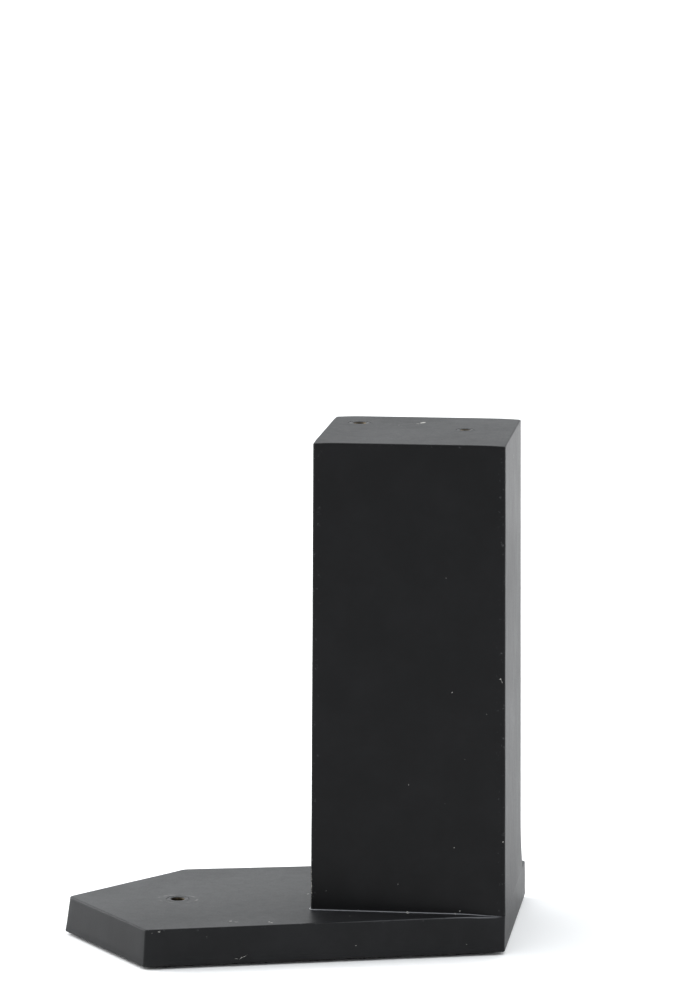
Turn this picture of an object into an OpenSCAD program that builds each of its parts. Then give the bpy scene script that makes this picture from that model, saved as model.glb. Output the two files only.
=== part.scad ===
// Table-top display plinth: a square pillar standing at one end of a pointed slab.
// Both are castings with a satin black coat, screwed together from below.
// Sizes are in millimetres. The slab's plan is laid out from the pillar's front
// right foot corner, +X to the right, +Y to the back, and Z up from the table.

/* [Slab] */
// Height of the slab's top above the table
slab_top = 12; // [8:0.1:20]
// Height of the slab's underside rim above the table, which the felt holds it at
slab_rim = 0.8; // [0.3:0.1:2]
// Depth of the slab at its right end
right_depth = 70.8; // [60:0.1:90]
// How far the back right corner lies to the right of the front right one
right_lean = 0.5; // [0:0.1:3]
// How far left the front shoulder is
front_shoulder_x = 106.2; // [80:0.1:130]
// How far forward the front shoulder is
front_shoulder_y = 30.5; // [0:0.1:50]
// How far left the pointed end is
tip_x = 136.7; // [100:0.1:170]
// How far back the pointed end is
tip_y = 7.6; // [-20:0.1:40]
// How far left the rear shoulder is
rear_shoulder_x = 106.5; // [80:0.1:130]
// How far back the rear shoulder is
rear_shoulder_y = 46.1; // [30:0.1:70]
// Draft: how far the front, left and back sides spread from top to bottom
slab_draft = 1.2; // [0:0.1:3]
// Rounding of the slab's upper edge
slab_arris = 0.45; // [0.1:0.05:1]
// Depth of the recess for the felt
recess_depth = 0.7; // [0.3:0.1:1.5]
// Width of the rim around the recess
rim_width = 2.5; // [1:0.1:6]

/* [Pillar] */
// Side of the square pillar at its foot
pillar_side = 60; // [40:0.5:90]
// Height of the pillar above the slab
pillar_height = 144.8; // [100:0.1:200]
// Draft: how far each side leans in from foot to top
pillar_draft = 0.78; // [0:0.01:2]
// Rounding of the pillar's upright edges
pillar_edge = 0.8; // [0.3:0.1:3]
// Rounding of the pillar's top edge
pillar_arris = 0.5; // [0.1:0.05:1]
// Thickness of the pillar's walls
pillar_wall = 5; // [3:0.5:10]
// Thickness of the pillar's top
pillar_cap = 12; // [6:0.5:20]

/* [Foot block and ballast] */
// Side of the block that fills the pillar's open foot
block_side = 49.6; // [30:0.1:80]
// Height of the foot block
block_height = 24; // [16:0.5:40]
// Side of the ballast weight
ballast_side = 44; // [20:0.5:60]
// Height of the ballast weight
ballast_height = 20; // [10:0.5:40]
// Length of the countersunk screw that holds the ballast
ballast_screw_length = 36; // [26:1:42]

/* [Screws, inserts and dowels] */
// Distance of each screw and dowel from the pillar's two middle lines
fixing_offset = 15; // [8:0.5:20]
// Major radius of the pillar screws
screw_r = 2.45; // [1.5:0.05:4]
// Length of the pillar screws under the head
screw_length = 18; // [12:0.5:20]
// Radius of the screw heads
head_r = 4.75; // [3:0.05:7]
// Height of the screw heads
head_h = 3.7; // [2:0.1:5]
// Radius of the counterbores in the slab
counterbore_r = 5.5; // [4:0.1:8]
// Thickness of the washers
washer_t = 1; // [0.5:0.1:2]
// Outer radius of the threaded inserts
insert_r = 4; // [3:0.1:6]
// Length of the threaded inserts
insert_length = 13; // [8:0.5:16]
// Radius of the dowels
dowel_r = 3; // [2:0.1:5]
// Length of the dowels
dowel_length = 16; // [10:0.5:24]
// Length of each dowel that is in the slab
dowel_in_slab = 6; // [3:0.5:8]

/* [Figure sockets] */
// Bore radius of the toe and foot sockets
foot_bore_r = 2.1; // [1:0.05:3]
// Outer radius of the toe and foot sockets
foot_sleeve_r = 3.5; // [2:0.1:5]
// Bore radius of the hand socket
hand_bore_r = 1.6; // [1:0.05:3]
// Outer radius of the hand socket
hand_sleeve_r = 2.75; // [2:0.05:5]
// Length of the toe socket
toe_length = 9; // [5:0.5:9.5]
// Length of the foot socket
foot_length = 10; // [5:0.5:11]
// Length of the hand socket
hand_length = 8; // [5:0.5:11]
// Thickness of each socket's closed end
socket_floor = 1.5; // [0.5:0.1:3]
// Clearance around fitted pieces, for the adhesive
fit_gap = 0.03; // [0.01:0.01:0.2]

/* [Hidden] */
$fn = 64;
sliver = 0.01;
recess_z = slab_rim + recess_depth;
bore_top = recess_z + 5;
pillar_top = slab_top + pillar_height;
block_top = slab_top + block_height;
ballast_top = block_top + ballast_height;
middle = [-pillar_side / 2, pillar_side / 2];
toe_at = [-102.5, 8.3];
foot_at = [-50, 44];
hand_at = [-16, 33];

// The slab's plan, counter-clockwise from the front right corner, with a corner radius each.
slab_plan = [[0, 0], [right_lean, right_depth], [-rear_shoulder_x, rear_shoulder_y],
             [-tip_x, tip_y], [-front_shoulder_x, -front_shoulder_y]];
slab_radii = [0.8, 1, 4, 1.6, 1];
// The right end stands upright and the other four sides have draft.
slab_spread = [0, 1, 1, 1, 1];

pillar_plan = [[0, 0], [0, pillar_side], [-pillar_side, pillar_side], [-pillar_side, 0]];

function before(i, n) = (i + n - 1) % n;
function along(p, i) = let (d = p[(i + 1) % len(p)] - p[i]) d / norm(d);
function outward(p, i) = let (d = along(p, i)) [d.y, -d.x];
function cross2(a, b) = a.x * b.y - a.y * b.x;
function meet(p, d, q, e) = p + d * cross2(q - p, e) / cross2(d, e);
// Centre of the arc at corner i when each side of the plan is moved out by its own amount.
function arc_at(p, i, out, r) =
    let (k = before(i, len(p)))
    meet(p[i] + outward(p, k) * (out[k] - r), along(p, k),
         p[i] + outward(p, i) * (out[i] - r), along(p, i));

slab_feet = [for (i = [0:4]) arc_at(slab_plan, i, slab_spread * slab_draft, slab_radii[i])];
low = [for (a = [0, 1]) min([for (i = [0:4]) slab_feet[i][a] - slab_radii[i]])];
high = [for (a = [0, 1]) max([for (i = [0:4]) slab_feet[i][a] + slab_radii[i]])];
// The row's origin: the middle of the slab's box, on the table.
shift = -(low + high) / 2;

// One level of a cast body: the plan moved out by out and trimmed by trim at a height z.
module level(p, radii, out, trim, z) {
    for (i = [0:len(p) - 1]) {
        c = arc_at(p, i, out, radii[i]);
        translate([c.x, c.y, z]) cylinder(r = radii[i] - trim, h = sliver, $fn = 32);
    }
}

module slab_level(z, spread, trim) {
    level(slab_plan, slab_radii, slab_spread * spread, trim, z);
}

module slab_block() {
    hull() {
        slab_level(slab_rim, slab_draft, 0.3);
        slab_level(slab_rim + 0.3, slab_draft, 0);
        slab_level(slab_top - slab_arris, 0.04, 0);
        slab_level(slab_top - 0.3 * slab_arris, 0, 0.3 * slab_arris);
        slab_level(slab_top - sliver, 0, slab_arris);
    }
}

// A flat plate that follows the slab's lower outline, drawn in by inset.
module slab_plate(z, h, inset) {
    out = [for (i = [0:4]) slab_spread[i] * slab_draft - inset];
    hull() {
        level(slab_plan, [2, 2, 4, 3, 2], out, 0, z);
        level(slab_plan, [2, 2, 4, 3, 2], out, 0, z + h - sliver);
    }
}

module pillar_level(z, r, inset, trim) {
    lean = pillar_draft * (z - slab_top) / pillar_height;
    out = [for (i = [0:3]) -lean - inset];
    level(pillar_plan, [r, r, r, r], out, trim, z);
}

module pillar_block() {
    hull() {
        pillar_level(slab_top, pillar_edge, 0, 0.2);
        pillar_level(slab_top + 0.2, pillar_edge, 0, 0);
        pillar_level(pillar_top - pillar_arris, pillar_edge, 0, 0);
        pillar_level(pillar_top - 0.3 * pillar_arris, pillar_edge, 0, 0.3 * pillar_arris);
        pillar_level(pillar_top - sliver, pillar_edge, 0, pillar_arris);
    }
}

module pillar_cavity() {
    hull() {
        pillar_level(slab_top - 1, 1.5, pillar_wall, 0);
        pillar_level(pillar_top - pillar_cap - sliver, 1.5, pillar_wall, 0);
    }
}

// Screws stand on one diagonal of the pillar's foot and dowels on the other.
module at_screws() {
    for (s = [-1, 1])
        translate([middle.x + s * fixing_offset, middle.y + s * fixing_offset, 0]) children();
}

module at_dowels() {
    for (s = [-1, 1])
        translate([middle.x + s * fixing_offset, middle.y - s * fixing_offset, 0]) children();
}

module at_middle() {
    translate([middle.x, middle.y, 0]) children();
}

// A plain square block with small rounded upright edges.
module square_block(side, r, z, h) {
    at_middle() hull()
        for (x = [-1, 1], y = [-1, 1])
            translate([x * (side / 2 - r), y * (side / 2 - r), z]) cylinder(r = r, h = h, $fn = 32);
}

// The outline of a thread, drawn as closed ridges: root and crest radius from z0 to z1.
function ridges(root, crest, z0, z1, pitch) =
    let (n = floor((z1 - z0) / pitch))
    [for (k = [0:n - 1], s = [0:3])
        [(s == 0 || s == 3) ? root : crest, z0 + (k + [0.1, 0.45, 0.6, 0.95][s]) * pitch]];

module pillar_screw() {
    rise = bore_top - washer_t;
    difference() {
        rotate_extrude($fn = 72) polygon(concat(
            [[0, rise - head_h], [head_r - 1.5, rise - head_h],
             [head_r - 0.5, rise - head_h + 0.45], [head_r, rise - head_h + 1.4],
             [head_r, rise - 0.15], [head_r - 0.15, rise], [screw_r, rise],
             [screw_r, rise + 3.2]],
            ridges(screw_r - 0.4, screw_r, rise + 3.4, rise + screw_length - 0.8, 0.8),
            [[screw_r - 0.45, rise + screw_length - 0.5],
             [screw_r - 0.9, rise + screw_length], [0, rise + screw_length]]));
        // Hexagon key recess
        translate([0, 0, rise - head_h - 1])
            cylinder(r = 1.73, h = 3, $fn = 6);
    }
}

module countersunk_screw() {
    top = ballast_top - 0.3;
    tip = top - ballast_screw_length;
    difference() {
        rotate_extrude($fn = 72) polygon(concat(
            [[0, tip], [0.5, tip + 0.7], [1.5, tip + 2.4]],
            ridges(1.7, 2.4, tip + 2.6, top - 9, 1.4),
            [[2.4, top - 8.8], [2.4, top - 2.6], [4.8, top - 0.3], [4.8, top], [0, top]]));
        for (a = [0, 90])
            translate([0, 0, top]) rotate(a) cube([4.6, 0.9, 3.2], center = true);
    }
}

// A closed-ended sleeve standing down from the surface at z, with a small lead-in.
module sleeve(at, z, outer, bore, length) {
    translate([at.x, at.y, 0]) rotate_extrude($fn = 72) polygon([
        [0, z - length], [outer - 0.3, z - length], [outer, z - length + 0.3],
        [outer, z - 0.1], [outer - 0.1, z], [bore + 0.3, z], [bore, z - 0.3],
        [bore, z - length + socket_floor], [0, z - length + socket_floor]]);
}

module sleeve_hole(at, z, outer, length) {
    translate([at.x, at.y, z - length]) cylinder(r = outer + fit_gap, h = length + 1);
}

module base_slab() {
    color([0.035, 0.035, 0.038]) difference() {
        slab_block();
        slab_plate(slab_rim - 1, recess_depth + 1, rim_width);
        at_screws() {
            translate([0, 0, recess_z - 1]) cylinder(r = counterbore_r, h = bore_top - recess_z + 1);
            cylinder(r = 2.75, h = slab_top + 1);
        }
        at_dowels() translate([0, 0, slab_top - dowel_in_slab])
            cylinder(r = dowel_r + fit_gap, h = dowel_in_slab + 1);
        sleeve_hole(toe_at, slab_top, foot_sleeve_r, toe_length);
    }
}

module pillar_shell() {
    color([0.03, 0.03, 0.033]) difference() {
        pillar_block();
        pillar_cavity();
        sleeve_hole(foot_at, pillar_top, foot_sleeve_r, foot_length);
        sleeve_hole(hand_at, pillar_top, hand_sleeve_r, hand_length);
    }
}

module foot_block() {
    color([0.62, 0.45, 0.28]) difference() {
        square_block(block_side, 2, slab_top, block_height);
        at_screws() {
            translate([0, 0, slab_top - 1]) cylinder(r = insert_r + fit_gap, h = insert_length + 1);
            translate([0, 0, slab_top]) cylinder(r = 2.6, h = insert_length + 3);
        }
        at_dowels() translate([0, 0, slab_top - 1])
            cylinder(r = dowel_r + fit_gap, h = dowel_length - dowel_in_slab + 1.2);
        at_middle() translate([0, 0, ballast_top - ballast_screw_length - 1.3])
            cylinder(r = 2.45, h = ballast_screw_length);
    }
}

module ballast_weight() {
    color([0.5, 0.5, 0.52]) difference() {
        square_block(ballast_side, 1.5, block_top, ballast_height);
        at_middle() {
            translate([0, 0, block_top - 1]) cylinder(r = 2.75, h = ballast_height + 2);
            translate([0, 0, ballast_top - 0.6]) cylinder(r = 4.9, h = 1);
            translate([0, 0, ballast_top - 2.95]) cylinder(r1 = 2.5, r2 = 4.9, h = 2.351);
        }
    }
}

module ballast_screw() {
    color([0.75, 0.68, 0.42]) at_middle() countersunk_screw();
}

module locating_dowels() {
    z = slab_top - dowel_in_slab;
    color([0.78, 0.62, 0.42]) at_dowels() rotate_extrude($fn = 72) polygon([
        [0, z], [dowel_r - 0.6, z], [dowel_r, z + 0.8], [dowel_r, z + dowel_length - 0.8],
        [dowel_r - 0.6, z + dowel_length], [0, z + dowel_length]]);
}

module threaded_inserts() {
    z = slab_top;
    r = insert_r;
    color([0.78, 0.6, 0.28]) at_screws() rotate_extrude($fn = 72) polygon([
        [screw_r + 0.35, z], [r, z], [r, z + 1.4], [r - 0.35, z + 1.7], [r - 0.35, z + 2.4],
        [r, z + 2.7], [r, z + 6.2], [r - 0.35, z + 6.5], [r - 0.35, z + 7.2], [r, z + 7.5],
        [r, z + 11], [r - 0.5, z + insert_length], [screw_r + 0.1, z + insert_length],
        [screw_r + 0.1, z + 0.3]]);
}

module pillar_screws() {
    color([0.6, 0.6, 0.62]) at_screws() pillar_screw();
}

module screw_washers() {
    color([0.66, 0.66, 0.68]) at_screws() translate([0, 0, bore_top - washer_t]) difference() {
        cylinder(r = 5.2, h = washer_t);
        translate([0, 0, -1]) cylinder(r = 2.65, h = washer_t + 2);
    }
}

module toe_socket() {
    color([0.72, 0.55, 0.28]) sleeve(toe_at, slab_top, foot_sleeve_r, foot_bore_r, toe_length);
}

module foot_socket() {
    color([0.72, 0.55, 0.28]) sleeve(foot_at, pillar_top, foot_sleeve_r, foot_bore_r, foot_length);
}

module hand_socket() {
    color([0.72, 0.55, 0.28]) sleeve(hand_at, pillar_top, hand_sleeve_r, hand_bore_r, hand_length);
}

module felt_pad() {
    color([0.08, 0.09, 0.08]) slab_plate(0, recess_z, rim_width + 0.1);
}

translate([shift.x, shift.y, 0]) {
    base_slab();
    pillar_shell();
    foot_block();
    ballast_weight();
    ballast_screw();
    locating_dowels();
    threaded_inserts();
    pillar_screws();
    screw_washers();
    toe_socket();
    foot_socket();
    hand_socket();
    felt_pad();
}
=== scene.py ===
"""The looks of a table-top display plinth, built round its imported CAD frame."""

import math

import bmesh
import bpy
import numpy as np
from mathutils import Matrix, Vector, noise


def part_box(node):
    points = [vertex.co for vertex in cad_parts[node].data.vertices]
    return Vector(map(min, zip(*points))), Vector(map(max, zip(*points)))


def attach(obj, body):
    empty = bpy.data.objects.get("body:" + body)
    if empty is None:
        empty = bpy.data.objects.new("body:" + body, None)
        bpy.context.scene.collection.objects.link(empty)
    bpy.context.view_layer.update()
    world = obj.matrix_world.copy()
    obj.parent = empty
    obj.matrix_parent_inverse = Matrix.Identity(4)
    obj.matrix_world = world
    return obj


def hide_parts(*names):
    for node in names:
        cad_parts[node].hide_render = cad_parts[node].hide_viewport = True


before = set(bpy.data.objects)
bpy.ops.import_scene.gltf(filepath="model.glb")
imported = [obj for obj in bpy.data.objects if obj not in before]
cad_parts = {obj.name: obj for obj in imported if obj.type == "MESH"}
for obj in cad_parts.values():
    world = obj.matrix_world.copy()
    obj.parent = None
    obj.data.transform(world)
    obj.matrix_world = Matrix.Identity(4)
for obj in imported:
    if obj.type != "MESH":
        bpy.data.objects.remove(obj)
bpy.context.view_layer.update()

MM = 0.001

# ---------------------------------------------------------------- places, from the frame
slab_lo, slab_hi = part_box("base_slab")
shell_lo, shell_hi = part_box("pillar_shell")
felt_lo, felt_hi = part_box("felt_pad")

# Lengths below are in millimetres unless a name says otherwise.
# The front right corner of the pillar's foot, which the plans are laid out from.
CORNER = np.array([shell_hi[0], shell_lo[1]]) / MM
SLAB_TOP = slab_hi[2] / MM
SLAB_RIM = slab_lo[2] / MM
RECESS = felt_hi[2] / MM
PILLAR_TOP = shell_hi[2] / MM
PILLAR_FOOT = shell_lo[2] / MM
SIDE = (shell_hi[0] - shell_lo[0]) / MM
CENTRE = CORNER + np.array([-SIDE / 2, SIDE / 2])


def middle(node):
    lo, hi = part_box(node)
    return (np.array(lo) + np.array(hi)) / 2 / MM


SLAB_END = 70.8  # the length of the slab's square end
FRONT_RUN, FRONT_RISE = 106.2, 30.5  # from the front shoulder to the corner
SLAB_PLAN = np.array([[0, 0], [0.5, SLAB_END], [-106.5, 46.1], [-136.7, 7.6],
                      [-FRONT_RUN, -FRONT_RISE]])
SLAB_RADII = [0.8, 1.0, 4.0, 1.6, 1.0]
SLAB_SPREAD = np.array([0, 1, 1, 1, 1.0])
SLAB_DRAFT = 1.2
SLAB_ARRIS = 0.45
RECESS_RADII = [2, 2, 4, 3, 2]
RECESS_INSET = 2.5
FELT_INSET = 2.6
PILLAR_PLAN = np.array([[0, 0], [0, SIDE], [-SIDE, SIDE], [-SIDE, 0]])
PILLAR_DRAFT = 0.78
PILLAR_EDGE = 0.8
PILLAR_ARRIS = 0.5
WALL = 5.0
CAP = 12.0
FILLET = 0.45
SLAB_PITCH = 3.0  # the mesh spacing on the slab's top
PILLAR_PITCH = 2.5  # and on the pillar's top
PLAIN = 400  # a spacing so wide that a side isn't split
ARRIS_STEPS = (0, 15, 30, 45, 60, 75, 90)


# ---------------------------------------------------------------- mesh helpers
def smooth(x, a, b):
    t = np.clip((x - a) / (b - a), 0, 1)
    return t * t * (3 - 2 * t)


def corner_arc(plan, i, out, radius):
    """Centre of the arc at a corner, and the two outward normals of the sides that meet there."""
    n = len(plan)
    k = (i - 1) % n
    p = plan[i]
    d0 = p - plan[k]
    d1 = plan[(i + 1) % n] - p
    d0, d1 = d0 / np.linalg.norm(d0), d1 / np.linalg.norm(d1)
    n0, n1 = np.array([d0[1], -d0[0]]), np.array([d1[1], -d1[0]])
    a = np.array([n0, n1])
    c = p + np.linalg.solve(a, np.array([out[k] - radius, out[i] - radius]))
    return c, n0, n1


def ring(plan, radii, out, trim, pitch, arc=6):
    """A closed outline, counter-clockwise: arcs at the corners and evenly split sides."""
    arcs = []
    for i in range(len(plan)):
        r = radii[i] - trim
        if r >= 0.05:
            c, n0, n1 = corner_arc(plan, i, out, radii[i])
        else:
            r = 0.05
            c, n0, n1 = corner_arc(plan, i, np.asarray(out) - trim, r)
        a0, a1 = math.atan2(n0[1], n0[0]), math.atan2(n1[1], n1[0])
        while a1 < a0:
            a1 += 2 * math.pi
        arcs.append([c + r * np.array([math.cos(a), math.sin(a)])
                     for a in np.linspace(a0, a1, arc + 1)])
    points = []
    for i, here in enumerate(arcs):
        points += here
        nxt = arcs[(i + 1) % len(arcs)][0]
        length = np.linalg.norm(plan[(i + 1) % len(plan)] - plan[i])
        steps = max(2, int(round(length / pitch)))
        for k in range(1, steps):
            points.append(here[-1] + (nxt - here[-1]) * k / steps)
    return np.array(points) + CORNER


def body_from_rings(rings):
    """A closed bmesh from rings of [points, height], lowest first, with a flat cap at each end."""
    bm = bmesh.new()
    rows = []
    for pts, z in rings:
        z = np.broadcast_to(z, (len(pts),))
        rows.append([bm.verts.new((p[0], p[1], h)) for p, h in zip(pts, z)])
    n = len(rows[0])
    for low, high in zip(rows, rows[1:]):
        for i in range(n):
            j = (i + 1) % n
            bm.faces.new((low[i], low[j], high[j], high[i]))
    bm.faces.new(list(reversed(rows[0])))
    bm.faces.new(rows[-1])
    return bm


def disc_ring(at, r, n=64):
    a = np.arange(n) * 2 * math.pi / n
    return np.stack([at[0] + r * np.cos(a), at[1] + r * np.sin(a)], 1)


def to_object(bm, name, angle=35):
    """The finished object, in metres, from a bmesh in millimetres."""
    bmesh.ops.recalc_face_normals(bm, faces=bm.faces)
    me = bpy.data.meshes.new(name)
    bm.to_mesh(me)
    bm.free()
    me.transform(Matrix.Scale(MM, 4))
    ob = bpy.data.objects.new(name, me)
    bpy.context.scene.collection.objects.link(ob)
    me.shade_smooth()
    me.set_sharp_from_angle(angle=math.radians(angle))
    return ob


def boolean(bm, cutters):
    """bm less each cutter, one at a time."""
    me = bpy.data.meshes.new("cut")
    bm.to_mesh(me)
    bm.free()
    ob = bpy.data.objects.new("cut", me)
    bpy.context.scene.collection.objects.link(ob)
    for cutter in cutters:
        cm = bpy.data.meshes.new("cutter")
        bmesh.ops.recalc_face_normals(cutter, faces=cutter.faces)
        cutter.to_mesh(cm)
        cutter.free()
        co = bpy.data.objects.new("cutter", cm)
        bpy.context.scene.collection.objects.link(co)
        mod = ob.modifiers.new("b", "BOOLEAN")
        mod.operation, mod.solver, mod.object = "DIFFERENCE", "EXACT", co
        deps = bpy.context.evaluated_depsgraph_get()
        new = bpy.data.meshes.new_from_object(ob.evaluated_get(deps))
        ob.modifiers.clear()
        ob.data = new
        bpy.data.objects.remove(co)
    out = bmesh.new()
    out.from_mesh(ob.data)
    bpy.data.objects.remove(ob)
    return out


def slice_faces(bm, keep, axis, values):
    """Splits the faces that keep() takes along planes at the given places on an axis."""
    normal = Vector([1.0 if a == axis else 0.0 for a in range(3)])
    for v in values:
        faces = [f for f in bm.faces if keep(f)]
        near = []
        for f in faces:
            c = [w.co[axis] for w in f.verts]
            if min(c) < v - 1e-4 and max(c) > v + 1e-4:
                near.append(f)
        geom = set(near)
        for f in near:
            geom.update(f.edges)
            geom.update(f.verts)
        if geom:
            bmesh.ops.bisect_plane(bm, geom=list(geom), dist=1e-5,
                                   plane_co=normal * v, plane_no=normal)


def grid(bm, takes, lo, hi, pitch):
    """Splits the faces that takes() picks into a grid, so that they can be made uneven."""
    bm.normal_update()
    for axis in (0, 1):
        slice_faces(bm, takes, axis, np.arange(lo[axis] / MM + pitch, hi[axis] / MM, pitch))
    bm.normal_update()


def wave(p, size, seed):
    """Smooth noise from -1 to 1 over waves of about the given size."""
    return noise.noise(Vector((p[0] / size + seed, p[1] / size - seed, p[2] / size + 2 * seed)))


def attribute(ob, name, fn):
    """A value for each vertex, from its place in millimetres."""
    me = ob.data
    at = me.attributes.new(name, "FLOAT", "POINT")
    for i, v in enumerate(me.vertices):
        at.data[i].value = fn(v.co / MM)


# ---------------------------------------------------------------- the slab
def flush(pts):
    """1 where the slab's edge runs on into the pillar's face, and 0 where its arris is rounded."""
    x, y = pts[:, 0] - CORNER[0], pts[:, 1] - CORNER[1]
    right = 1 - smooth(-x, 1.2, 2.4)
    under = right * (1 - smooth(y, SIDE - 1.6, SIDE - 0.2))
    front = (1 - smooth(-x, 0.8, 9)) * (1 - smooth(y, 0.6, 1.2))
    return np.maximum(under, front)


def slab_body():
    """The slab's outer skin: a rounded rim, drafted sides and a rounded arris that dies out."""
    rings = []

    def add(z, spread, trim):
        full = ring(SLAB_PLAN, SLAB_RADII, SLAB_SPREAD * spread, trim, 2.5)
        height = np.full(len(full), float(z))
        if z > SLAB_TOP - SLAB_ARRIS - 0.01 and trim < SLAB_ARRIS + 0.1:
            sharp = ring(SLAB_PLAN, SLAB_RADII, SLAB_SPREAD * spread, 0, 2.5)
            b = flush(sharp)
            full = full + (sharp - full) * b[:, None]
            height = height + (SLAB_TOP - height) * b * min(1.0, trim * 100)
        rings.append((full, height))

    rim = 0.3
    for t in (0, 30, 60):
        a = math.radians(t)
        add(SLAB_RIM + rim * (1 - math.cos(a)), SLAB_DRAFT, rim * (1 - math.sin(a)))
    low, high = SLAB_RIM + rim, SLAB_TOP - SLAB_ARRIS
    for z in np.linspace(low, high - 0.6, 5):
        add(z, SLAB_DRAFT * (high - z) / (high - low), 0)
    for t in ARRIS_STEPS:
        a = math.radians(t)
        add(high + SLAB_ARRIS * math.sin(a), 0, SLAB_ARRIS * (1 - math.cos(a)))
    add(SLAB_TOP, 0, SLAB_ARRIS + 0.6)
    bm = body_from_rings(rings)
    bmesh.ops.remove_doubles(bm, verts=bm.verts, dist=0.004)
    bmesh.ops.dissolve_degenerate(bm, edges=bm.edges, dist=0.003)
    return bm


def cylinder(at, r, z0, z1, n=64):
    return body_from_rings([(disc_ring(at, r, n), z0), (disc_ring(at, r, n), z1)])


def foot_outline(inset, trim=0, pitch=PLAIN):
    """The outline of the slab's foot, drawn in by inset."""
    return ring(SLAB_PLAN, RECESS_RADII, SLAB_SPREAD * SLAB_DRAFT - inset, trim, pitch)


FIX = 15.0  # how far the screws and dowels stand from the pillar's middle, each way
SCREWS = [CENTRE + s * np.array([FIX, FIX]) for s in (-1, 1)]
DOWELS = [CENTRE + s * np.array([FIX, -FIX]) for s in (-1, 1)]
TOE, FOOT, HAND = (middle(n)[:2] for n in ("toe_socket", "foot_socket", "hand_socket"))
GAP = 0.03
SLEEVE, SMALL_SLEEVE = 3.5, 2.75  # the sleeves' outer radii
SLEEVE_BORE, SMALL_BORE = 2.1, 1.6
HEAD_BORE, SHANK_BORE, DOWEL_BORE = 5.5, 2.75, 3.03


def corner_dip(x, y):
    """How far the slab's top sinks towards the corner where the pillar's front meets its edge."""
    along = CORNER[0] - x
    return 0.5 * (1 - smooth(along, 0, 15)) * (1 - smooth(y - CORNER[1], 0.4, 3))


def make_slab():
    recess = foot_outline(RECESS_INSET)
    cuts = [body_from_rings([(recess, SLAB_RIM - 1), (recess, RECESS)])]
    for p in SCREWS:
        cuts += [cylinder(p, HEAD_BORE, RECESS - 0.5, 6.5),
                 cylinder(p, SHANK_BORE, 5, SLAB_TOP + 1, 48)]
    for p in DOWELS:
        cuts.append(cylinder(p, DOWEL_BORE, SLAB_TOP - 6, SLAB_TOP + 1, 48))
    cuts.append(cylinder(TOE, SLEEVE + GAP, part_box("toe_socket")[0][2] / MM, SLAB_TOP + 1))
    bm = boolean(slab_body(), cuts)

    def top(f):
        return f.normal.z > 0.99 and f.calc_center_median().z > SLAB_TOP - 0.01

    grid(bm, top, slab_lo, slab_hi, SLAB_PITCH)
    for v in bm.verts:
        x, y, z = v.co
        if z > RECESS + 0.05:
            inside = any(math.hypot(x - p[0], y - p[1]) < 6 for p in SCREWS + DOWELS)
            socket = math.hypot(x - TOE[0], y - TOE[1]) < SLEEVE + 0.1
            if not inside and not socket:
                push = 0.035 * (1 + wave(v.co, 22, 3)) + 0.02 * (1 + wave(v.co, 7, 9))
                v.co -= v.normal * push
                if z > SLAB_TOP - 2:
                    v.co.z -= corner_dip(x, y) * smooth(z, SLAB_TOP - 2, SLAB_TOP - 0.4)
        elif abs(v.normal.z) < 0.9:
            # The rim goes in by a hair, so that it stays inside the CAD box.
            v.co -= v.normal * 0.005
    return to_object(bm, "plinth_slab")


def edge_depth(x, y):
    """How far inside the slab's top outline a point lies."""
    p = np.array([x, y]) - CORNER
    side = np.roll(SLAB_PLAN, -1, axis=0) - SLAB_PLAN
    out = np.stack([side[:, 1], -side[:, 0]], 1) / np.linalg.norm(side, axis=1)[:, None]
    return float(np.min(np.sum((SLAB_PLAN - p) * out, axis=1)))


# ---------------------------------------------------------------- the pillar
def pillar_ring(z, trim=0.0, inset=0.0, radius=PILLAR_EDGE, pitch=2.5):
    lean = PILLAR_DRAFT * (z - PILLAR_FOOT) / (PILLAR_TOP - PILLAR_FOOT)
    return ring(PILLAR_PLAN, [radius] * 4, [-lean - inset] * 4, trim, pitch)


def foot_flare(pts, size):
    """Spreads the pillar's foot where its coat runs out on to the slab.

    It doesn't spread where the two are flush, or where the pillar overhangs the slab's back edge.
    """
    half = SIDE / 2 - PILLAR_EDGE
    d = pts - CENTRE
    away = d - np.clip(d, -half, half)
    away = away / np.maximum(np.linalg.norm(away, axis=1), 1e-9)[:, None]
    weight = (1 - smooth(away[:, 0], 0.05, 0.5)) * smooth(SIDE / 2 - d[:, 0], 0.8, 14)
    depth = np.array([edge_depth(x, y) for x, y in pts])
    weight = np.where(d[:, 1] > 0, weight * smooth(depth, 0.3, 3), weight)
    return pts + away * (size * weight)[:, None]


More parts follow.
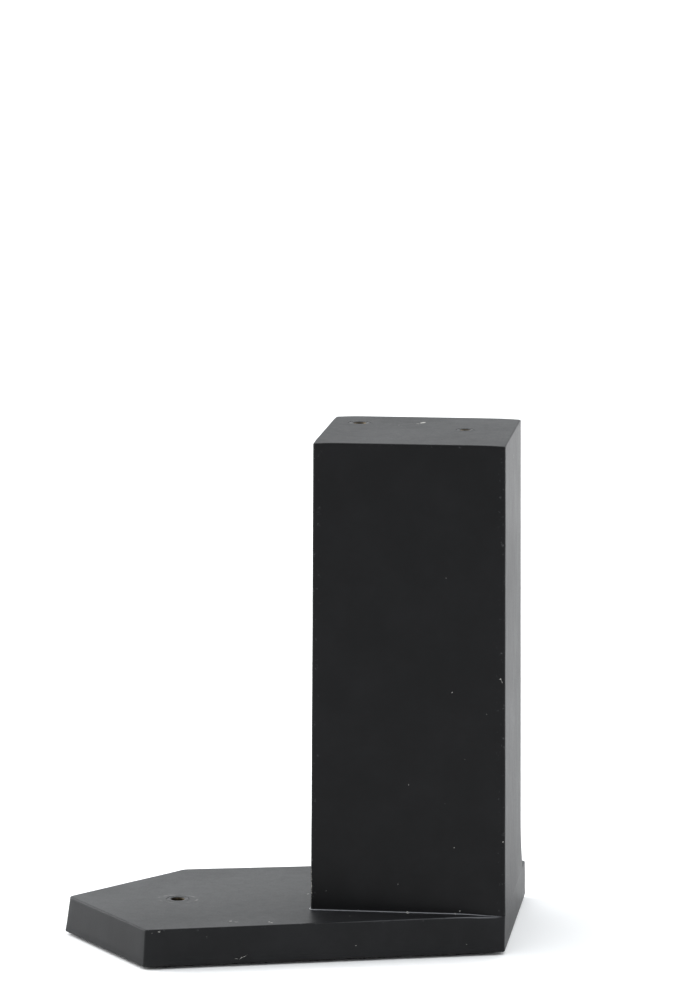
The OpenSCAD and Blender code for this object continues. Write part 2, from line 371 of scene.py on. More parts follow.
def make_pillar():
    rings = []
    for t in (0, 12, 24, 36, 48, 60, 75, 90):
        a = math.radians(t)
        rings.append((foot_flare(pillar_ring(PILLAR_FOOT), FILLET * (1 - math.sin(a))),
                      PILLAR_FOOT + FILLET * (1 - math.cos(a))))
    high = PILLAR_TOP - PILLAR_ARRIS
    for z in np.linspace(PILLAR_FOOT + 1.2, high - 0.6, 58):
        rings.append((pillar_ring(z), z))
    for t in ARRIS_STEPS:
        a = math.radians(t)
        rings.append((pillar_ring(high, PILLAR_ARRIS * (1 - math.cos(a))),
                      high + PILLAR_ARRIS * math.sin(a)))
    rings.append((pillar_ring(high, PILLAR_ARRIS + 0.6), PILLAR_TOP))
    bm = body_from_rings(rings)
    roof = PILLAR_TOP - CAP
    cuts = [body_from_rings([(pillar_ring(z, 0, WALL, 1.5, PLAIN), z)
                             for z in (PILLAR_FOOT - 1, roof)])]
    for node, at, r in (("foot_socket", FOOT, SLEEVE), ("hand_socket", HAND, SMALL_SLEEVE)):
        cuts.append(cylinder(at, r + GAP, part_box(node)[0][2] / MM, PILLAR_TOP + 1))
    bm = boolean(bm, cuts)

    def top(f):
        return f.normal.z > 0.99 and f.calc_center_median().z > PILLAR_TOP - 0.01

    grid(bm, top, shell_lo, shell_hi, PILLAR_PITCH)
    inner = SIDE / 2 - 3
    for v in bm.verts:
        v.co.z = min(v.co.z, PILLAR_TOP - 0.001)
        x, y, z = v.co
        dx, dy = x - CENTRE[0], y - CENTRE[1]
        outer = max(abs(dx), abs(dy)) > inner or z > PILLAR_TOP - 0.7
        socket = (math.hypot(x - FOOT[0], y - FOOT[1]) < SLEEVE + 0.1
                  or math.hypot(x - HAND[0], y - HAND[1]) < SMALL_SLEEVE + 0.15)
        if outer and not socket:
            grow = smooth(z, PILLAR_FOOT + 0.4, PILLAR_FOOT + 5)
            push = 0.04 * (1 + wave(v.co, 26, 5)) + 0.02 * (1 + wave(v.co, 8, 12))
            v.co -= v.normal * float(push * grow)
            # Corners at the top are worn lower than the arris between them.
            near = math.prod(max(0.0, 1 - (SIDE / 2 - abs(d)) / 9) for d in (dx, dy))
            v.co.z -= 0.45 * near ** 2 * float(smooth(z, PILLAR_TOP - 3, PILLAR_TOP - 0.2))
            if z < PILLAR_FOOT + 1:
                v.co.z -= corner_dip(x, y) * (1 - (z - PILLAR_FOOT))
            if dx > SIDE / 2 - 1.3:
                # The right face runs out to meet the slab's end, which leans slightly.
                spread = 0.5 * max(0.0, y - CORNER[1]) / SLAB_END
                v.co.x += spread * float(1 - smooth(z, PILLAR_FOOT, PILLAR_FOOT + 14))
    return to_object(bm, "plinth_pillar")


# ---------------------------------------------------------------- materials
class Tree:
    """A material's node tree, with short calls for the nodes that it is built from."""

    def __init__(self, name):
        self.m = bpy.data.materials.new(name)
        self.m.use_nodes = True
        self.nt = self.m.node_tree
        self.nt.nodes.clear()
        out = self.node("OutputMaterial")
        self.p = self.node("BsdfPrincipled")
        self.link(self.p.outputs[0], out.inputs[0])
        self.co = self.node("TexCoord").outputs["Object"]

    def link(self, a, b):
        self.nt.links.new(a, b)

    def node(self, kind, **values):
        n = self.nt.nodes.new("ShaderNode" + kind)
        for k, v in values.items():
            setattr(n, k, v)
        return n

    def put(self, socket, value):
        if isinstance(value, bpy.types.NodeSocket):
            self.link(value, socket)
        else:
            socket.default_value = value

    def math(self, op, a, b=0.0, clamp=False):
        n = self.node("Math", operation=op, use_clamp=clamp)
        self.put(n.inputs[0], a)
        self.put(n.inputs[1], b)
        return n.outputs[0]

    def times(self, a, b, clamp=False):
        return self.math("MULTIPLY", a, b, clamp)

    def swing(self, value, amount):
        """A 0 to 1 value turned into one that swings about zero."""
        return self.times(self.math("SUBTRACT", value, 0.5), amount)

    def vec(self, op, a, b=None, out=0):
        n = self.node("VectorMath", operation=op)
        self.put(n.inputs[0], a)
        if b is not None:
            self.put(n.inputs[1], b)
        return n.outputs[out]

    def noise(self, scale, detail=3.0, rough=0.55, stretch=None, distortion=0.0):
        n = self.node("TexNoise")
        co = self.co
        if stretch:
            co = self.vec("MULTIPLY", co, stretch)
        self.link(co, n.inputs["Vector"])
        n.inputs["Scale"].default_value = scale
        n.inputs["Detail"].default_value = detail
        n.inputs["Roughness"].default_value = rough
        n.inputs["Distortion"].default_value = distortion
        return n.outputs["Fac"]

    def noise_colour(self, scale, stretch):
        n = self.node("TexNoise")
        self.link(self.vec("MULTIPLY", self.co, stretch), n.inputs["Vector"])
        n.inputs["Scale"].default_value = scale
        return n.outputs["Color"]

    def ramp(self, value, a, b, c=0.0, d=1.0):
        n = self.node("MapRange", interpolation_type="SMOOTHSTEP")
        self.put(n.inputs["Value"], value)
        for key, v in (("From Min", a), ("From Max", b), ("To Min", c), ("To Max", d)):
            n.inputs[key].default_value = v
        return n.outputs["Result"]

    def mix(self, fac, a, b):
        n = self.node("Mix", data_type="RGBA")
        self.put(n.inputs["Factor"], fac)
        self.put(n.inputs["A"], a if isinstance(a, bpy.types.NodeSocket) else (*a, 1.0))
        self.put(n.inputs["B"], b if isinstance(b, bpy.types.NodeSocket) else (*b, 1.0))
        return n.outputs["Result"]

    def bump(self, height, strength, distance, before=None):
        n = self.node("Bump")
        n.inputs["Strength"].default_value = strength
        n.inputs["Distance"].default_value = distance
        self.put(n.inputs["Height"], height)
        if before is not None:
            self.link(before, n.inputs["Normal"])
        return n.outputs["Normal"]

    def set(self, **values):
        """Sets the shader's sockets: plain values on the socket itself, node outputs by a link."""
        for k, v in values.items():
            self.put(self.p.inputs[k.replace("_", " ")], v)
        return self.m

    def jagged(self, jitter=0.35):
        """The object's coordinates with a fine jitter, which gives small marks ragged outlines."""
        n = self.node("TexNoise")
        self.link(self.co, n.inputs["Vector"])
        n.inputs["Scale"].default_value = 2400
        n.inputs["Detail"].default_value = 2
        off = self.vec("SUBTRACT", n.outputs["Color"], (0.5, 0.5, 0.5))
        return self.vec("ADD", self.co, self.vec("MULTIPLY", off, (jitter * 2 * MM,) * 3))

    def spot(self, co, at, size, along=None, length=0.0):
        """1 on a small mark: a dot of radius size, or a dash of a length along a direction."""
        place = (*(np.array(at[:2]) + CORNER) * MM, at[2] * MM)
        away = self.vec("SUBTRACT", co, place)
        if along is None:
            d = self.math("DIVIDE", self.vec("LENGTH", away, out=1), size * MM)
        else:
            u = tuple(Vector(along).normalized())
            run = self.math("DIVIDE", self.vec("DOT_PRODUCT", away, u, 1), length / 2 * MM)
            side = self.vec("LENGTH", self.vec("CROSS_PRODUCT", away, u), out=1)
            side = self.math("DIVIDE", side, size * MM)
            squares = self.math("ADD", self.times(run, run), self.times(side, side))
            d = self.math("SQRT", squares)
        return self.ramp(d, 0.6, 1.0, 1.0, 0.0)

    def halo(self, at, size, scale):
        """A faint broken ring round a point on an upright axis; size is its two radii."""
        away = self.vec("SUBTRACT", self.co, (at[0] * MM, at[1] * MM, 0.0))
        away = self.vec("MULTIPLY", away, (1 / (size[0] * MM), 1 / (size[1] * MM), 0.0))
        off = self.math("ABSOLUTE", self.math("SUBTRACT", self.vec("LENGTH", away, out=1), 1.0))
        line = self.ramp(off, 0.02, 0.09, 1.0, 0.0)
        return self.times(line, self.ramp(self.noise(scale, 3), 0.42, 0.6))

    def marks(self, spots):
        """1 on each of the marks in a list."""
        co = self.jagged()
        total = None
        for args in spots:
            m = self.spot(co, *args)
            total = m if total is None else self.math("MAXIMUM", total, m)
        return total

    def specks(self, scale, size, share):
        """Sparse dots: cells per metre, radius in cells, and the share of cells with a dot."""
        n = self.node("TexVoronoi")
        self.link(self.co, n.inputs["Vector"])
        n.inputs["Scale"].default_value = scale
        sep = self.node("SeparateColor")
        self.link(n.outputs["Color"], sep.inputs[0])
        near = self.math("LESS_THAN", n.outputs["Distance"], size)
        return self.times(near, self.math("LESS_THAN", sep.outputs[0], share))

    def attribute(self, name):
        n = self.node("Attribute", attribute_name=name)
        return n.outputs["Fac"]


def coat(name, base, rough, spots, halo=None):
    """A satin black coat over pale cast resin, rubbed by hand, with small chips and specks, two
    painted reflections among the marks, a painted highlight along the joint and the slab's front
    arris, and a painted sheen on the slab's top.

    The low specular level was fitted to the photo's brightness. It isn't a known paint value.
    """
    t = Tree(name)
    broad = t.noise(22, 3)
    cloud = t.noise(75, 4)
    grain = t.noise(1500, 3, 0.6)
    fine = t.noise(5200, 2, 0.6)
    rubbed = t.noise(340, 4, 0.6, (1.0, 1.0, 0.25))
    tint = t.mix(t.ramp(cloud, 0.35, 0.75), base, tuple(1.4 * c for c in base))
    r = t.math("ADD", rough, t.swing(broad, 0.14))
    r = t.math("ADD", r, t.swing(grain, 0.12))
    r = t.math("ADD", r, t.swing(rubbed, 0.10))
    wear = t.times(t.attribute("wear"), t.ramp(t.noise(850, 4, 0.65), 0.60, 0.74))
    tint = t.mix(t.times(wear, 0.55), tint, (0.10, 0.10, 0.105))
    # Painted sheen: the slab's top is made lighter towards the back and the tip.
    painted_sheen = t.times(t.attribute("painted_sheen"), t.ramp(cloud, 0.2, 0.8, 0.7, 1.2))
    tint = t.mix(painted_sheen, tint, (0.10, 0.103, 0.108))
    # Painted highlight: a pale, glossier line along the pillar's foot and the slab's front arris
    # below it.
    painted_highlight = t.times(t.attribute("painted_highlight"), t.ramp(t.noise(420, 3), 0.2, 0.5, 0.55, 1.0))
    tint = t.mix(painted_highlight, tint, (0.24, 0.245, 0.26))
    r = t.math("SUBTRACT", r, t.times(painted_highlight, 0.12))
    dust = t.math("MAXIMUM", t.specks(95, 0.016, 0.16), t.specks(240, 0.025, 0.035))
    tint = t.mix(t.times(dust, 0.5), tint, (0.34, 0.34, 0.33))
    if halo is not None:
        pale = t.times(t.halo(halo, (6.2, 4.6), 260), 0.30)
        tint = t.mix(pale, tint, (0.30, 0.29, 0.27))
    # The marks are chips, with a painted reflection among them.
    chips_and_painted_glints = t.marks(spots)
    tint = t.mix(t.times(chips_and_painted_glints, 0.8), tint, (0.50, 0.49, 0.46))
    r = t.math("ADD", r, t.times(t.math("MAXIMUM", chips_and_painted_glints, wear), 0.25), clamp=True)
    n = t.bump(t.noise(140, 2), 0.25, 0.00006)
    n = t.bump(grain, 0.35, 0.000016, n)
    n = t.bump(fine, 0.35, 0.000006, n)
    n = t.bump(t.times(chips_and_painted_glints, -1.0), 0.6, 0.00008, n)
    return t.set(Base_Color=tint, Roughness=r, Normal=n, Specular_IOR_Level=0.14)


def turned_metal(name, base, rough):
    """Metal with fine machining rings up its height and a little staining."""
    t = Tree(name)
    lines = t.noise(1000, 3, 0.6, (0.25, 0.25, 3.0))
    stain = t.noise(300, 4)
    dark = tuple(0.62 * c for c in base)
    return t.set(Base_Color=t.mix(t.ramp(stain, 0.4, 0.75), base, dark),
                 Roughness=t.math("ADD", rough, t.swing(lines, 0.3)),
                 Normal=t.bump(lines, 0.3, 0.00002), Metallic=1.0)


def sawn_steel(name):
    """Steel with saw lines across it, mill scale and a little rust."""
    t = Tree(name)
    saw = t.noise(700, 3, 0.6, (1.0, 0.08, 1.0))
    scale = t.noise(60, 5, 0.6)
    tint = t.mix(t.ramp(scale, 0.45, 0.6), (0.42, 0.41, 0.40), (0.20, 0.17, 0.15))
    rust = t.ramp(t.noise(120, 5, 0.7), 0.62, 0.75)
    tint = t.mix(t.times(rust, 0.6), tint, (0.25, 0.10, 0.04))
    return t.set(Base_Color=tint, Roughness=t.ramp(saw, 0.3, 0.7, 0.32, 0.6),
                 Normal=t.bump(saw, 0.4, 0.00005), Metallic=0.9)


def timber(name, light, dark, heart, along, spacing):
    """Bare wood: growth rings about a heart line, pores drawn out along the grain, a fine nap."""
    t = Tree(name)
    squash = tuple(0.04 if a == along else 1.0 for a in range(3))
    wander = t.vec("MULTIPLY", t.vec("SUBTRACT", t.noise_colour(60, squash), (0.5,) * 3),
                   (0.004,) * 3)
    place = t.vec("ADD", t.vec("MULTIPLY", t.co, squash), wander)
    away = t.vec("SUBTRACT", place, tuple(h * MM for h in heart))
    age = t.math("FRACT", t.math("DIVIDE", t.vec("LENGTH", away, out=1), spacing * MM))
    pores = t.noise(3200, 2, 0.5, tuple(0.05 if a == along else 1.0 for a in range(3)))
    tint = t.mix(t.math("POWER", age, 2.5), light, dark)
    tint = t.mix(t.ramp(pores, 0.60, 0.74, 0.0, 0.6), tint, tuple(0.5 * c for c in dark))
    return t.set(Base_Color=tint, Roughness=t.ramp(pores, 0.3, 0.7, 0.55, 0.8),
                 Normal=t.bump(pores, 0.4, 0.00006, t.bump(age, 0.15, 0.00005)))


def felt_cloth(name):
    """Black felt: crossed fibres with a little lint."""
    t = Tree(name)
    a = t.noise(900, 4, 0.7, (1.0, 0.25, 1.0), 1.5)
    b = t.noise(900, 4, 0.7, (0.25, 1.0, 1.0), 1.5)
    fibre = t.math("MAXIMUM", a, b)
    lint = t.specks(160, 0.03, 0.12)
    tint = t.mix(t.ramp(fibre, 0.45, 0.75), (0.010, 0.011, 0.011), (0.045, 0.046, 0.046))
    tint = t.mix(t.times(lint, 0.5), tint, (0.30, 0.29, 0.27))
    return t.set(Base_Color=tint, Roughness=t.ramp(fibre, 0.4, 0.8, 0.98, 0.85),
                 Normal=t.bump(fibre, 0.7, 0.00025), Sheen_Weight=0.35, Sheen_Roughness=0.5,
                 Specular_IOR_Level=0.2)


def sleeve_metal(name):
    """A brass sleeve: painted over on its face with the coat, bare in its bore."""
    t = Tree(name)
    bare = t.attribute("bare")
    grain = t.noise(1500, 3, 0.6)
    stain = t.noise(500, 4)
    brass = t.mix(t.ramp(stain, 0.3, 0.6), (0.16, 0.12, 0.07), (0.05, 0.04, 0.028))
    edge = t.times(bare, t.ramp(t.noise(900, 3), 0.25, 0.5, 0.55, 1.0), clamp=True)
    return t.set(Base_Color=t.mix(edge, (0.012, 0.0125, 0.0135), brass), Metallic=edge,
                 Roughness=t.ramp(grain, 0.2, 0.8, 0.32, 0.52),
                 Normal=t.bump(grain, 0.35, 0.000016), Specular_IOR_Level=0.2)


# ---------------------------------------------------------------- small turned pieces
def turned(name, at, profile, n=48, shape=None, bare=None, cut=None, angle=35):
    """A piece turned about an upright axis from (radius, height) points, bottom first."""
    bm = bmesh.new()
    rows = []
    for r, z in profile:
        if r <= 0:
            rows.append([bm.verts.new((at[0], at[1], z))])
            continue
        row = []
        for i in range(n):
            a = 2 * math.pi * i / n
            rr = shape(a, r, z) if shape else r
            row.append(bm.verts.new((at[0] + rr * math.cos(a), at[1] + rr * math.sin(a), z)))
        rows.append(row)
    loop = rows + ([rows[0]] if len(rows[0]) > 1 and len(rows[-1]) > 1 else [])
    for low, high in zip(loop, loop[1:]):
        for i in range(n):
            j = (i + 1) % n
            if len(low) == 1:
                bm.faces.new((low[0], high[j], high[i]))
            elif len(high) == 1:
                bm.faces.new((low[i], low[j], high[0]))
            else:
                bm.faces.new((low[i], low[j], high[j], high[i]))
    if cut:
        bm = boolean(bm, cut)
    ob = to_object(bm, name, angle)
    if bare:
        attribute(ob, "bare", bare)
    return ob


def keep(piece, node, slot, material):
    """Gives a piece its material and its place in the frame."""
    piece.data.materials.clear()
    piece.data.materials.append(material)
    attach(piece, "root")
    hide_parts(node)


def ridges(root, crest, z0, z1, pitch):
    """The outline of a thread drawn as plain rings, which have no hand."""
    points = []
    for z in np.arange(z0, z1 - pitch + 1e-6, pitch):
        points += [(root, z + 0.06 * pitch), (crest, z + 0.44 * pitch),
                   (crest, z + 0.56 * pitch), (root, z + 0.94 * pitch)]
    return points


def make_pillar_screw(name, at, lo, hi):
    """A cap screw, head down, with a hexagonal socket and plain rings for a thread."""
    head = hi - 18.0
    profile = [(0, lo), (3.2, lo), (4.2, lo + 0.4), (4.62, lo + 0.95), (4.75, lo + 1.5),
               (4.75, head - 0.2), (4.55, head), (2.45, head), (2.45, head + 3.0)]
    profile += ridges(2.05, 2.45, head + 3.3, hi - 0.5, 0.8)
    profile += [(1.95, hi - 0.45), (1.5, hi), (0, hi)]
    key = body_from_rings([(disc_ring(at, 1.73, 6), lo - 1), (disc_ring(at, 1.73, 6), lo + 2.0)])
    return turned(name, at, profile, 48, cut=[key])


def make_wood_screw(name, at, lo, hi):
    """A countersunk screw, point down, with a cross recess."""
    profile = [(0, lo), (0.5, lo + 0.7), (1.5, lo + 2.4)]
    profile += ridges(1.7, 2.4, lo + 2.7, hi - 9, 1.4)
    profile += [(2.4, hi - 8.8), (2.4, hi - 2.7), (4.7, hi - 0.4), (4.8, hi - 0.2), (4.7, hi),
                (0, hi)]
    cross = []
    for w, d in ((2.3, 0.45), (0.45, 2.3)):
        box = np.array([(-w, -d), (w, -d), (w, d), (-w, d)]) + at
        tip = np.array([(-w, -d), (w, -d), (w, d), (-w, d)]) * 0.45 + at
        cross.append(body_from_rings([(tip, hi - 1.6), (box, hi + 0.5)]))
    return turned(name, at, profile, 48, cut=cross)


def make_dowel(name, at, lo, hi):
    """A wooden dowel with 12 shallow flutes."""
    def flutes(a, r, z):
        deep = float(smooth(z, lo + 1.2, lo + 2.0) * (1 - smooth(z, hi - 2.0, hi - 1.2)))
        return r - 0.16 * deep * max(0.0, math.cos(12 * a)) ** 2

    profile = [(0, lo), (2.2, lo), (2.55, lo + 0.2)]
    profile += [(3.0, z) for z in np.linspace(lo + 0.8, hi - 0.8, 24)]
    profile += [(2.55, hi - 0.2), (2.2, hi), (0, hi)]
    return turned(name, at, profile, 96, flutes)


def make_insert(name, at, lo, hi):
    """A knurled insert with a plain bore."""
    bore, groove, crest = 2.55, 3.65, 4.0
    bands = ((lo + 2.7, lo + 6.2), (lo + 7.5, lo + 11.0))

    def knurl(a, r, z):
        """24 straight teeth round each band."""
        if r > 3.9 and any(z0 - 0.05 < z < z1 + 0.05 for z0, z1 in bands):
            return r - 0.13 * (1 + math.cos(24 * a))
        return r

    profile = [(2.8, lo), (3.85, lo), (crest, lo + 0.15), (crest, lo + 1.4), (groove, lo + 1.7),
               (groove, lo + 2.4)]
    profile += [(crest, lo + 2.7), (crest, lo + 4.4), (crest, lo + 6.2)]
    profile += [(groove, lo + 6.5), (groove, lo + 7.2)]
    profile += [(crest, lo + 7.5), (crest, lo + 9.2), (crest, lo + 11.0)]
    profile += [(3.5, hi), (bore, hi)]
    profile += [(bore, z) for z in np.linspace(hi - 0.5, lo + 0.5, 24)]
    profile += [(bore, lo + 0.3)]
    return turned(name, at, profile, 96, knurl)


def make_washer(name, at, lo, hi):
    return turned(name, at, [(2.65, lo + 0.1), (2.75, lo), (5.05, lo), (5.2, lo + 0.2),
                             (5.2, hi - 0.1), (5.1, hi), (2.8, hi), (2.65, hi - 0.15)], 64)


def make_sleeve(name, at, lo, hi, outer, bore):
    """A sleeve for a pin, closed at its lower end."""
    mid = (outer + bore) / 2
    profile = [(0, lo), (outer - 0.3, lo), (outer, lo + 0.3), (outer, hi - 0.25),
               (outer - 0.12, hi - 0.04), (mid, hi - 0.02), (bore + 0.34, hi - 0.03),
               (bore + 0.12, hi - 0.14), (bore, hi - 0.34)]
    profile += [(bore, z) for z in np.linspace(hi - 0.8, lo + 1.7, 12)]
    profile += [(bore - 0.15, lo + 1.5), (0, lo + 1.35)]

    def shown(co):
        r = math.hypot(co.x - at[0], co.y - at[1])
        return 1.0 if lo + 1 < co.z < hi - 0.3 and r < bore + 0.1 else 0.0

    return turned(name, at, profile, 64, bare=shown)


# ---------------------------------------------------------------- the pieces
FRONT = (FRONT_RUN, FRONT_RISE, 0)  # along the slab's front edge, to the right
ACROSS = (1, 0, 0)
# Chips and scratches, and two painted reflections on the pillar: the place from CORNER and the
# radius, then a dash's direction and length.
SLAB_MARKS = [
    ((-82.3, -16.6, 11.95), 0.22, (1.4, 0.5, 0), 1.3), ((-80.6, -17.3, 11.95), 0.16, ACROSS, 1.6),
    ((-70.6, -16.1, 11.95), 0.34), ((-69.6, -17.0, 11.95), 0.16, (1, -0.5, 0), 1.3),
    ((-102.0, -29.4, 11.4), 0.16, (2, 0.6, 0.8), 1.5), ((-104.3, -30.1, 10.9), 0.15),
    ((-77.9, -23.4, 2.5), 0.11, (3.5, 1.1, 1.7), 4.4), ((-79.2, -23.8, 2.2), 0.09, FRONT, 2.6),
    ((-88.2, -25.7, 9.3), 0.13, (0, 0, 1), 1.2), ((-44.3, -13.5, 4.6), 0.18),
    ((-11.4, -4.2, 3.6), 0.16), ((-110.2, -27.9, 3.1), 0.22),
    ((-29.9, -0.9, 12.0), 0.3, ACROSS, 1.1), ((-47.1, -6.1, 12.0), 0.16),
    ((-63.2, 19.2, 12.0), 0.2, (1, 2, 0), 2.0), ((-15.3, -0.7, 12.0), 0.22),
]
PILLAR_MARKS = [
    ((-55.2, 0.0, 18.1), 0.15), ((-33.0, 0.05, 20.6), 0.15), ((-15.8, 0.1, 32.7), 0.15),
    ((-30.5, 46.6, 156.6), 0.75, (0.5, 1, 0), 3.6), ((-31.9, 44.2, 156.6), 0.35, ACROSS, 1.4),
    ((-37.4, 40.6, 156.6), 0.28), ((-0.75, 30.7, 149.2), 0.22, (0, 0, 1), 2.2),
    ((-0.1, 9.4, 22.3), 0.24), ((-0.85, 0.3, 34.8), 0.2, (0, 0, 1), 0.9),
    ((-29.9, -0.2, 12.2), 0.22, ACROSS, 1.2), ((-15.4, -0.2, 12.2), 0.26),
    ((-13.9, 0.0, 12.9), 0.22), ((-45.2, -0.2, 12.2), 0.2),
    # The two upright dashes on the pillar's front left edge are a painted reflection of the light
    # on that edge.
    ((-59.8, 0.2, 20.5), 0.2, (0, 0, 1), 15.0), ((-59.8, 0.2, 33.0), 0.14, (0, 0, 1), 4.0),
    ((-1.9, 0.4, 85.4), 0.24), ((-1.5, 0.4, 84.6), 0.13, (0.3, 0, -1), 1.0),
    ((-16.6, 0.4, 80.9), 0.15, (1, 0, 0.5), 0.8), ((-29.8, 0.25, 51.9), 0.12),
    ((-12.6, 0.3, 60.2), 0.1), ((-0.6, 10.2, 118.2), 0.22),
]

slab = make_slab()
pillar = make_pillar()


def slab_wear(co):
    """Rubbed a little all over the top's arris, and most at its very edge."""
    high = float(smooth(co.z, SLAB_TOP - 0.9, SLAB_TOP - 0.4))
    return high * (0.12 + 0.88 * float(1 - smooth(edge_depth(co.x, co.y), 0.5, 1.3)))


def slab_painted_highlight(co):
    """A painted highlight along the front arris where it nears the pillar's face."""
    x, y = co.x - CORNER[0], co.y - CORNER[1]
    if co.z < SLAB_TOP - 0.34 - corner_dip(co.x, co.y) or not -56 < x < -1.5:
        return 0.0
    depth = (y - x * FRONT_RISE / FRONT_RUN) * 0.96
    if depth > 0.42:
        return 0.0
    return float(0.13 * smooth(x, -56, -38) + 0.32 * smooth(x, -24, -9))


def slab_painted_sheen(co):
    """A painted sheen on the top, lighter and bluer towards the back and the tip."""
    x, y = co.x - CORNER[0], co.y - CORNER[1]
    if co.z < SLAB_TOP - 0.5:
        return 0.0
    back = float(smooth(y - 0.15 * x, -10, 55))
    return 0.16 * back + 0.05 * float(smooth(-x, 100, 130))


def pillar_wear(co):
    """Rubbed along the upright arrises and round the top."""
    dx, dy = abs(co.x - CENTRE[0]), abs(co.y - CENTRE[1])
    lean = PILLAR_DRAFT * (co.z - PILLAR_FOOT) / (PILLAR_TOP - PILLAR_FOOT)
    edge = min(dx, dy) > SIDE / 2 - lean - 1.0
    top = co.z > PILLAR_TOP - 0.75 and max(dx, dy) > SIDE / 2 - lean - 0.9
    return 1.0 if edge or top else 0.0


def pillar_painted_highlight(co):
    """A painted highlight: a pale line where the pillar meets the slab, clear on the front and
    faint elsewhere.
    """
    dx, dy = abs(co.x - CENTRE[0]), abs(co.y - CENTRE[1])
    if max(dx, dy) < SIDE / 2 - 1 or co.x > CORNER[0] - 0.6:
        return 0.0
    height = co.z - PILLAR_FOOT + float(corner_dip(co.x, co.y))
    fade = float(smooth(CORNER[0] - co.x, 0.5, 3))
    if co.y > CORNER[1] + 1:
        fade *= 0.22
    return fade * float(1 - smooth(height, 0.06, 0.2))


attribute(slab, "wear", slab_wear)
attribute(slab, "painted_highlight", slab_painted_highlight)
attribute(slab, "painted_sheen", slab_painted_sheen)
attribute(pillar, "painted_sheen", lambda co: 0.0)
attribute(pillar, "wear", pillar_wear)
attribute(pillar, "painted_highlight", pillar_painted_highlight)
# The slab's coat has about twice the pillar's base colour: a painted lightening of the same coat,
# standing in for the brighter light on the slab.
keep(slab, "base_slab", "black_coat_slab",
     coat("slab_coat", (0.0085, 0.0087, 0.0094), 0.44, SLAB_MARKS, TOE))
keep(pillar, "pillar_shell", "black_coat_pillar",
     coat("pillar_coat", (0.0042, 0.0042, 0.0047), 0.44, PILLAR_MARKS))

steel = turned_metal("bright_zinc", (0.60, 0.60, 0.62), 0.3)
zinc = turned_metal("yellow_zinc", (0.66, 0.52, 0.26), 0.32)
brass = turned_metal("turned_brass", (0.72, 0.50, 0.20), 0.28)
sleeve = sleeve_metal("painted_sleeve")
beech = timber("beech_dowel", (0.64, 0.46, 0.28), (0.52, 0.35, 0.20), (20, 0, 0), 2, 1.3)


def heights(node):
    lo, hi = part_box(node)
    return lo[2] / MM, hi[2] / MM


for i, at in enumerate(SCREWS):
    tag = ("front", "back")[i]
    keep(make_pillar_screw(f"pillar_screw_{tag}", at, *heights("pillar_screws")),
         "pillar_screws", "steel_screw", steel)
    keep(make_washer(f"screw_washer_{tag}", at, *heights("screw_washers")),
         "screw_washers", "steel_washer", steel)
    keep(make_insert(f"threaded_insert_{tag}", at, *heights("threaded_inserts")),
         "threaded_inserts", "brass_insert", brass)
for i, at in enumerate(DOWELS):
    keep(make_dowel(f"locating_dowel_{('back', 'front')[i]}", at, *heights("locating_dowels")),
         "locating_dowels", "dowel_wood", beech)
keep(make_wood_screw("ballast_screw_body", CENTRE, *heights("ballast_screw")),
     "ballast_screw", "zinc_screw", zinc)
for node, at, outer, bore in (("toe_socket", TOE, SLEEVE, SLEEVE_BORE),
                              ("foot_socket", FOOT, SLEEVE, SLEEVE_BORE),
                              ("hand_socket", HAND, SMALL_SLEEVE, SMALL_BORE)):
    keep(make_sleeve(f"{node}_sleeve", at, *heights(node), outer, bore),
         node, "dark_sleeve", sleeve)


def make_felt():
    """The felt: a cut sheet with soft edges and a slightly uneven nap."""
    edge = ((0.0, 0.9), (0.0, 0.45), (0.05, 0.15), (0.3, 0.0), (0.75, 0.02), (1.2, 0.0),
            (1.45, 0.12), (RECESS, 0.5))
    bm = body_from_rings([(foot_outline(FELT_INSET, trim, 1.4), z) for z, trim in edge])
    bmesh.ops.remove_doubles(bm, verts=bm.verts, dist=1e-4)
    grid(bm, lambda f: f.normal.z < -0.99, felt_lo, felt_hi, 4.0)
    for v in bm.verts:
        side = 1 - abs(v.normal.z)
        v.co.x -= v.normal.x * 0.10 * side * (1 + wave(v.co, 1.7, 4))
        v.co.y -= v.normal.y * 0.10 * side * (1 + wave(v.co, 1.7, 8))
        if v.co.z < 0.05:
            v.co.z += 0.03 * (1 + wave(v.co, 6, 2))
    return to_object(bm, "felt_base", 60)


felt = make_felt()
keep(felt, "felt_pad", "felt", felt_cloth("black_felt"))
outline = foot_outline(FELT_INSET)

# The block and the ballast inside keep their CAD solids.
for node, material in (
        ("foot_block", timber("block_wood", (0.52, 0.35, 0.19), (0.33, 0.20, 0.105),
                              (22, 0, -30), 1, 2.6)),
        ("ballast_weight", sawn_steel("ballast_steel"))):
    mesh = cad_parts[node].data
    mesh.materials.clear()
    mesh.materials.append(material)

# ---------------------------------------------------------------- floor, light and camera
floor_mesh = bpy.data.meshes.new("floor")
floor_mesh.from_pydata([(-12, -12, 0), (12, -12, 0), (12, 12, 0), (-12, 12, 0)], [],
                       [(0, 1, 2, 3)])
floor = bpy.data.objects.new("floor", floor_mesh)
floor.location.z = -0.0002
bpy.context.scene.collection.objects.link(floor)
t = Tree("floor_paper")
t.set(Base_Color=t.mix(t.noise(3, 3), (0.88, 0.88, 0.88), (0.90, 0.90, 0.90)), Roughness=0.9)
floor_mesh.materials.append(t.m)

world = bpy.data.worlds.new("studio")
bpy.context.scene.world = world
world.use_nodes = True
nt = world.node_tree
nt.nodes.clear()
w_out = nt.nodes.new("ShaderNodeOutputWorld")
w_bg = nt.nodes.new("ShaderNodeBackground")
w_co = nt.nodes.new("ShaderNodeTexCoord")
w_sep = nt.nodes.new("ShaderNodeSeparateXYZ")
nt.links.new(w_co.outputs["Generated"], w_sep.inputs[0])


def world_ramp(socket, a, b, c, d):
    n = nt.nodes.new("ShaderNodeMapRange")
    n.interpolation_type = "SMOOTHSTEP"
    nt.links.new(socket, n.inputs["Value"])
    for key, v in (("From Min", a), ("From Max", b), ("To Min", c), ("To Max", d)):
        n.inputs[key].default_value = v
    return n.outputs["Result"]


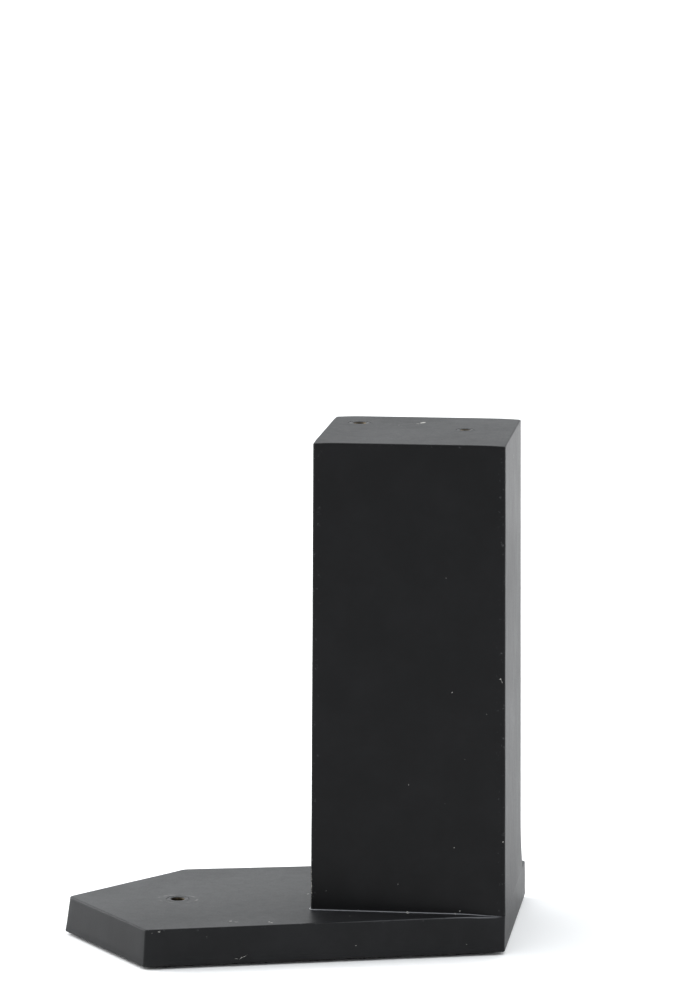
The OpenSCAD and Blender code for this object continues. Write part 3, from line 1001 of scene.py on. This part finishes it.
def world_math(op, a, b):
    n = nt.nodes.new("ShaderNodeMath")
    n.operation = op
    nt.links.new(a, n.inputs[0])
    nt.links.new(b, n.inputs[1])
    return n.outputs[0]


low_sky = world_ramp(w_sep.outputs["Z"], 0.08, 0.3, 0.0, 1.18)
high_sky = world_ramp(w_sep.outputs["Z"], 0.3, 0.7, 1.0, 0.0)
behind = world_ramp(w_sep.outputs["Y"], -0.3, 0.6, 0.0, 1.0)
zenith = world_ramp(w_sep.outputs["Z"], 0.45, 0.9, 0.6, 1.82)
band = world_math("MULTIPLY", behind, world_math("MULTIPLY", low_sky, high_sky))
nt.links.new(world_math("ADD", zenith, band), w_bg.inputs["Strength"])
w_bg.inputs["Color"].default_value = (0.955, 0.98, 1.0, 1.0)
nt.links.new(w_bg.outputs[0], w_out.inputs[0])


def softbox(name, place, aim, size, power):
    data = bpy.data.lights.new(name, "AREA")
    data.shape = "RECTANGLE"
    data.size, data.size_y = size
    data.energy = power
    ob = bpy.data.objects.new(name, data)
    bpy.context.scene.collection.objects.link(ob)
    ob.location = place
    ob.rotation_euler = (Vector(aim) - Vector(place)).to_track_quat("-Z", "Y").to_euler()
    ob.visible_camera = False
    return ob


softbox("left_side", (-1.25, 0.15, 0.75), (0, 0, 0.08), (0.5, 0.9), 15)
softbox("left_low", (-0.9, 0.35, 0.2), (0, 0, 0.02), (0.3, 0.3), 2.5)
softbox("right_side", (1.30, 0.35, 0.70), (0, 0, 0.08), (0.5, 0.9), 6)
softbox("sweep", (0, 0.55, 0.09), (0, 0, 0.06), (1.4, 0.14), 0.40)

cam_data = bpy.data.cameras.new("camera")
cam_data.lens = 158.8
cam_data.sensor_width = 36
cam_data.clip_start, cam_data.clip_end = 0.05, 60
cam = bpy.data.objects.new("camera", cam_data)
bpy.context.scene.collection.objects.link(cam)
cam.location = ((CORNER[0] + 108.6) * MM, (CORNER[1] - 1305.4) * MM, 353.2 * MM)
yaw, pitch = math.radians(-6.83), math.radians(9.23)
cam.rotation_euler = (math.pi / 2 - pitch, 0, -yaw)
bpy.context.scene.camera = cam
bpy.context.scene.view_settings.view_transform = "Standard"
